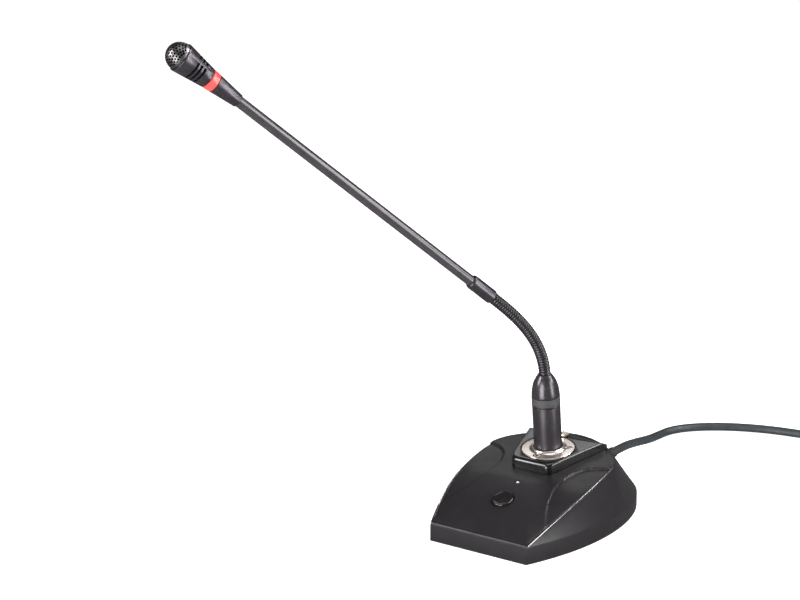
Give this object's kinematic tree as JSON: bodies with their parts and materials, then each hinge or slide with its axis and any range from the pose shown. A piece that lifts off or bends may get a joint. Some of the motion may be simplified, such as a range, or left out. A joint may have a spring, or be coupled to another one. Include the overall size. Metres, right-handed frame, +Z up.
{
  "type": "gooseneck podium microphone",
  "caption": "Podium microphone: a slim boom with a slotted head and red light ring on a flexible neck, plugged into a weighted table base with a push-button, socket and cable.",
  "frame": {"origin": "on the flat panel of the base's underside, at the middle of the base", "axes": "+Z up, +X to the right of a person facing the front, +Y to the rear, where the cable leaves"},
  "size_m": [0.3575, 0.467, 0.3408],
  "materials": {
    "cover": "fine matt texture",
    "plate": "black zinc",
    "weight": "rough cast",
    "foot": "matt",
    "steel_screw": "zinc plated",
    "housing": "gloss",
    "flange": "champagne nickel plate",
    "insert": "moulded",
    "contact": "gold plated",
    "board": "solder resist",
    "switch": "moulded",
    "lamp": "clear, unlit",
    "button": "satin top, bright edge",
    "plug_metal": "satin black",
    "neck": "black, ribbed",
    "tube": "semi-gloss black",
    "head": "satin dark metal",
    "ring": "translucent red",
    "grille": "dark nickel mesh",
    "capsule": "plain",
    "soft_black": "matt",
    "cable": "smooth PVC jacket",
    "cable_plug": "nickel plated"
  },
  "bodies": {
    "base": {"base_cover": "cover", "bottom_plate": "plate", "ballast_weight": "weight", "foot_1": "foot", "foot_2": "foot", "foot_3": "foot", "foot_4": "foot", "base_screw_1": "steel_screw", "base_screw_2": "steel_screw", "base_screw_3": "steel_screw", "base_screw_4": "steel_screw", "collar_housing": "housing", "socket_shell": "flange", "socket_insert": "insert", "socket_contact_1": "contact", "socket_contact_2": "contact", "socket_contact_3": "contact", "flange_screw_1": "flange", "flange_screw_2": "flange", "flange_screw_3": "flange", "circuit_board": "board", "push_switch": "switch", "led_lamp": "lamp", "cable_gland": "soft_black", "cable_tube": "cable", "cable_coil": "cable", "cable_tail": "cable", "cable_tie": "soft_black", "cable_plug_boot": "soft_black", "cable_plug_shell": "cable_plug", "cable_plug_insert": "insert", "cable_plug_pin_1": "cable_plug", "cable_plug_pin_2": "cable_plug", "cable_plug_pin_3": "cable_plug"},
    "button": {"push_button": "button"},
    "latch": {"latch_tab": "flange"},
    "plug": {"plug_shell": "plug_metal", "plug_insert": "insert", "plug_pin_1": "contact", "plug_pin_2": "contact", "plug_pin_3": "contact", "stem_nose": "plug_metal"},
    "link_1": {"gooseneck_link_1": "neck"},
    "link_2": {"gooseneck_link_2": "neck"},
    "link_3": {"gooseneck_link_3": "neck"},
    "link_4": {"gooseneck_link_4": "neck"},
    "link_5": {"gooseneck_link_5": "neck"},
    "link_6": {"gooseneck_link_6": "neck"},
    "link_7": {"gooseneck_link_7": "neck"},
    "link_8": {"gooseneck_link_8": "neck"},
    "boom": {"ferrule": "head", "boom_tube": "tube", "head_cone": "head", "light_ring": "ring", "ring_board": "board", "head_barrel": "head", "capsule_mount": "soft_black", "capsule": "capsule", "grille": "grille"}
  },
  "joints": [
    {"name": "button_press", "type": "slide", "parent": "base", "child": "button", "axis": [0, 0.3584, -0.9336], "range_m": [0, 0.0015], "stiffness_N_per_m": 700, "springref_m": -0.001},
    {"name": "latch_press", "type": "slide", "parent": "base", "child": "latch", "axis": [0, 0.1132, -0.9936], "range_m": [0, 0.0014], "stiffness_N_per_m": 900, "springref_m": -0.001},
    {"name": "stem_lift", "type": "slide", "parent": "base", "child": "plug", "axis": [0, -0.1132, 0.9936], "range_m": [0, 0.022]},
    {"name": "bend_1", "type": "hinge", "parent": "plug", "child": "link_1", "pos_m": [0, -0.00118, 0.1008], "axis": [0.8013, -0.5945, -0.0677], "range_deg": [-9, 9]},
    {"name": "sway_1", "type": "hinge", "parent": "link_1", "child": "link_2", "pos_m": [-0.00052, -0.00285, 0.10941], "axis": [-0.5885, -0.7627, -0.2682], "range_deg": [-7.5, 7.5]},
    {"name": "bend_2", "type": "hinge", "parent": "link_2", "child": "link_3", "pos_m": [-0.00186, -0.0056, 0.11766], "axis": [0.8013, -0.5945, -0.0677], "range_deg": [-9, 9]},
    {"name": "sway_2", "type": "hinge", "parent": "link_3", "child": "link_4", "pos_m": [-0.00388, -0.00921, 0.12541], "axis": [-0.5367, -0.6641, -0.5205], "range_deg": [-7.5, 7.5]},
    {"name": "bend_3", "type": "hinge", "parent": "link_4", "child": "link_5", "pos_m": [-0.00647, -0.01352, 0.13264], "axis": [0.8013, -0.5945, -0.0677], "range_deg": [-9, 9]},
    {"name": "sway_3", "type": "hinge", "parent": "link_5", "child": "link_6", "pos_m": [-0.00948, -0.01834, 0.13935], "axis": [-0.4763, -0.5652, -0.6736], "range_deg": [-7.5, 7.5]},
    {"name": "bend_4", "type": "hinge", "parent": "link_6", "child": "link_7", "pos_m": [-0.0128, -0.02354, 0.14562], "axis": [0.8013, -0.5945, -0.0677], "range_deg": [-9, 9]},
    {"name": "sway_4", "type": "hinge", "parent": "link_7", "child": "link_8", "pos_m": [-0.01635, -0.02899, 0.15155], "axis": [-0.4343, -0.5, -0.7492], "range_deg": [-7.5, 7.5]},
    {"name": "bend_5", "type": "hinge", "parent": "link_8", "child": "boom", "pos_m": [-0.02002, -0.03459, 0.15726], "axis": [0.8013, -0.5945, -0.0677], "range_deg": [-9, 9]}
  ],
  "couplings": [
    {"joint": "bend_2", "follows": "bend_1", "ratio": 1},
    {"joint": "sway_2", "follows": "sway_1", "ratio": 1},
    {"joint": "bend_3", "follows": "bend_1", "ratio": 1},
    {"joint": "sway_3", "follows": "sway_1", "ratio": 1},
    {"joint": "bend_4", "follows": "bend_1", "ratio": 1},
    {"joint": "sway_4", "follows": "sway_1", "ratio": 1},
    {"joint": "bend_5", "follows": "bend_1", "ratio": 1}
  ]
}
